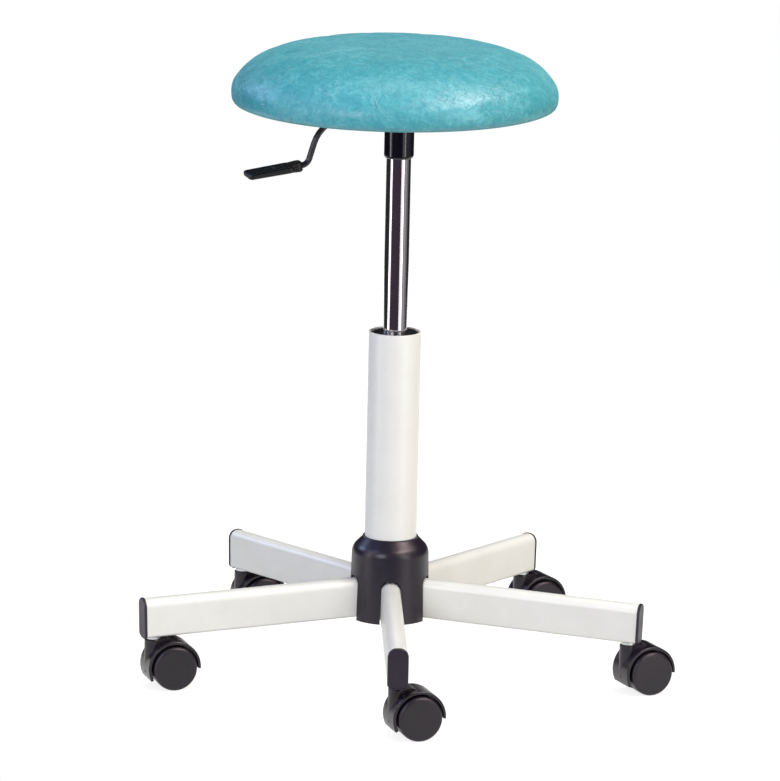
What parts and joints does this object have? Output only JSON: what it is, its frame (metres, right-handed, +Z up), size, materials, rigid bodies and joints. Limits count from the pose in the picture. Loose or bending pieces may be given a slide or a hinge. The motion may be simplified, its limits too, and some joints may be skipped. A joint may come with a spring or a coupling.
{
  "type": "medical stool",
  "caption": "Round padded swivel stool with a gas lift column, a side lift lever and a star base of tube legs on hooded twin-wheel casters.",
  "frame": {"origin": "on the column's axis, at the floor that the wheels stand on", "axes": "+Z up along the column, -Y towards the viewer of the picture, +X to the viewer's right"},
  "size_m": [0.6156, 0.5881, 0.7333],
  "materials": {
    "teal_vinyl": "satin, fine grain",
    "foam": "open-cell foam",
    "plywood": "raw birch plywood",
    "black_enamel": "gloss black enamel",
    "zinc_steel": "bright zinc plated",
    "polished_steel": "ground steel",
    "hard_chrome": "polished chrome",
    "brass": "stamped brass",
    "seal_rubber": "moulded rubber",
    "black_plastic": "satin moulded nylon",
    "wheel_nylon": "satin moulded nylon",
    "white_powder_coat": "satin white powder coat"
  },
  "bodies": {
    "base": {"column_tube": "white_powder_coat", "hub_core": "zinc_steel", "hub_shroud": "black_plastic", "caster_stems": "zinc_steel", "stand_tube": "black_enamel", "guide_bush": "black_plastic", "centring_ring": "black_plastic", "lower_race": "polished_steel", "leg_1": "white_powder_coat", "leg_2": "white_powder_coat", "leg_3": "white_powder_coat", "leg_4": "white_powder_coat", "leg_5": "white_powder_coat", "end_cap_1": "black_plastic", "end_cap_2": "black_plastic", "end_cap_3": "black_plastic", "end_cap_4": "black_plastic", "end_cap_5": "black_plastic"},
    "cage": {"ball_cage": "brass", "bearing_balls": "polished_steel"},
    "rod": {"piston_rod": "polished_steel", "piston": "polished_steel", "rod_bumper": "seal_rubber", "rod_clip": "zinc_steel", "upper_race": "polished_steel"},
    "seat": {"lift_cylinder": "hard_chrome", "rod_guide": "seal_rubber", "cone_socket": "black_enamel", "seat_plate": "black_enamel", "seat_screws": "zinc_steel", "t_nuts": "zinc_steel", "seat_board": "plywood", "seat_foam": "foam", "seat_cover": "teal_vinyl", "lever_bracket": "zinc_steel", "lever_pin": "zinc_steel"},
    "button": {"release_pin": "zinc_steel"},
    "lever": {"lever_rod": "black_enamel", "lever_grip": "black_plastic"},
    "caster_1": {"caster_1_housing": "black_plastic", "caster_1_axle": "zinc_steel"},
    "caster_1_wheel_left": {"caster_1_wheel_left": "wheel_nylon"},
    "caster_1_wheel_right": {"caster_1_wheel_right": "wheel_nylon"},
    "caster_2": {"caster_2_housing": "black_plastic", "caster_2_axle": "zinc_steel"},
    "caster_2_wheel_left": {"caster_2_wheel_left": "wheel_nylon"},
    "caster_2_wheel_right": {"caster_2_wheel_right": "wheel_nylon"},
    "caster_3": {"caster_3_housing": "black_plastic", "caster_3_axle": "zinc_steel"},
    "caster_3_wheel_left": {"caster_3_wheel_left": "wheel_nylon"},
    "caster_3_wheel_right": {"caster_3_wheel_right": "wheel_nylon"},
    "caster_4": {"caster_4_housing": "black_plastic", "caster_4_axle": "zinc_steel"},
    "caster_4_wheel_left": {"caster_4_wheel_left": "wheel_nylon"},
    "caster_4_wheel_right": {"caster_4_wheel_right": "wheel_nylon"},
    "caster_5": {"caster_5_housing": "black_plastic", "caster_5_axle": "zinc_steel"},
    "caster_5_wheel_left": {"caster_5_wheel_left": "wheel_nylon"},
    "caster_5_wheel_right": {"caster_5_wheel_right": "wheel_nylon"}
  },
  "joints": [
    {"name": "seat_turn", "type": "hinge", "parent": "base", "child": "rod", "pos_m": [0, 0, 0.075], "axis": [0, 0, 1], "continuous": true},
    {"name": "cage_turn", "type": "hinge", "parent": "base", "child": "cage", "pos_m": [0, 0, 0.075], "axis": [0, 0, 1], "continuous": true},
    {"name": "seat_lift", "type": "slide", "parent": "rod", "child": "seat", "axis": [0, 0, 1], "range_m": [-0.19, 0]},
    {"name": "lever_tilt", "type": "hinge", "parent": "seat", "child": "lever", "pos_m": [-0.0425, -0.01139, 0.6505], "axis": [-0.2588, 0.9659, 0], "range_deg": [0, 4.5], "stiffness_Nm_per_rad": 2, "springref_deg": -3.44},
    {"name": "release_press", "type": "slide", "parent": "seat", "child": "button", "axis": [0, 0, -1], "range_m": [0, 0.0045]},
    {"name": "caster_1_swivel", "type": "hinge", "parent": "base", "child": "caster_1", "pos_m": [0.01148, -0.28577, 0.045], "axis": [0, 0, 1], "continuous": true},
    {"name": "caster_1_wheel_left_spin", "type": "hinge", "parent": "caster_1", "child": "caster_1_wheel_left", "pos_m": [0.03133, -0.27893, 0.0255], "axis": [-0.3256, 0.9455, 0], "continuous": true},
    {"name": "caster_1_wheel_right_spin", "type": "hinge", "parent": "caster_1", "child": "caster_1_wheel_right", "pos_m": [0.03133, -0.27893, 0.0255], "axis": [-0.3256, 0.9455, 0], "continuous": true},
    {"name": "caster_2_swivel", "type": "hinge", "parent": "base", "child": "caster_2", "pos_m": [0.27533, -0.07739, 0.045], "axis": [0, 0, 1], "continuous": true},
    {"name": "caster_2_wheel_left_spin", "type": "hinge", "parent": "caster_2", "child": "caster_2_wheel_left", "pos_m": [0.29436, -0.06852, 0.0255], "axis": [-0.4226, 0.9063, 0], "continuous": true},
    {"name": "caster_2_wheel_right_spin", "type": "hinge", "parent": "caster_2", "child": "caster_2_wheel_right", "pos_m": [0.29436, -0.06852, 0.0255], "axis": [-0.4226, 0.9063, 0], "continuous": true},
    {"name": "caster_3_swivel", "type": "hinge", "parent": "base", "child": "caster_3", "pos_m": [0.15869, 0.23794, 0.045], "axis": [0, 0, 1], "continuous": true},
    {"name": "caster_3_wheel_left_spin", "type": "hinge", "parent": "caster_3", "child": "caster_3_wheel_left", "pos_m": [0.1774, 0.24747, 0.0255], "axis": [-0.454, 0.891, 0], "continuous": true},
    {"name": "caster_3_wheel_right_spin", "type": "hinge", "parent": "caster_3", "child": "caster_3_wheel_right", "pos_m": [0.1774, 0.24747, 0.0255], "axis": [-0.454, 0.891, 0], "continuous": true},
    {"name": "caster_4_swivel", "type": "hinge", "parent": "base", "child": "caster_4", "pos_m": [-0.17726, 0.22445, 0.045], "axis": [0, 0, 1], "continuous": true},
    {"name": "caster_4_wheel_left_spin", "type": "hinge", "parent": "caster_4", "child": "caster_4_wheel_left", "pos_m": [-0.15752, 0.23163, 0.0255], "axis": [-0.342, 0.9397, 0], "continuous": true},
    {"name": "caster_4_wheel_right_spin", "type": "hinge", "parent": "caster_4", "child": "caster_4_wheel_right", "pos_m": [-0.15752, 0.23163, 0.0255], "axis": [-0.342, 0.9397, 0], "continuous": true},
    {"name": "caster_5_swivel", "type": "hinge", "parent": "base", "child": "caster_5", "pos_m": [-0.26824, -0.09922, 0.045], "axis": [0, 0, 1], "continuous": true},
    {"name": "caster_5_wheel_left_spin", "type": "hinge", "parent": "caster_5", "child": "caster_5_wheel_left", "pos_m": [-0.24838, -0.09239, 0.0255], "axis": [-0.3256, 0.9455, 0], "continuous": true},
    {"name": "caster_5_wheel_right_spin", "type": "hinge", "parent": "caster_5", "child": "caster_5_wheel_right", "pos_m": [-0.24838, -0.09239, 0.0255], "axis": [-0.3256, 0.9455, 0], "continuous": true}
  ],
  "couplings": [
    {"joint": "cage_turn", "follows": "seat_turn", "ratio": 0.5},
    {"joint": "release_press", "follows": "lever_tilt", "m_per_rad": 0.044}
  ]
}
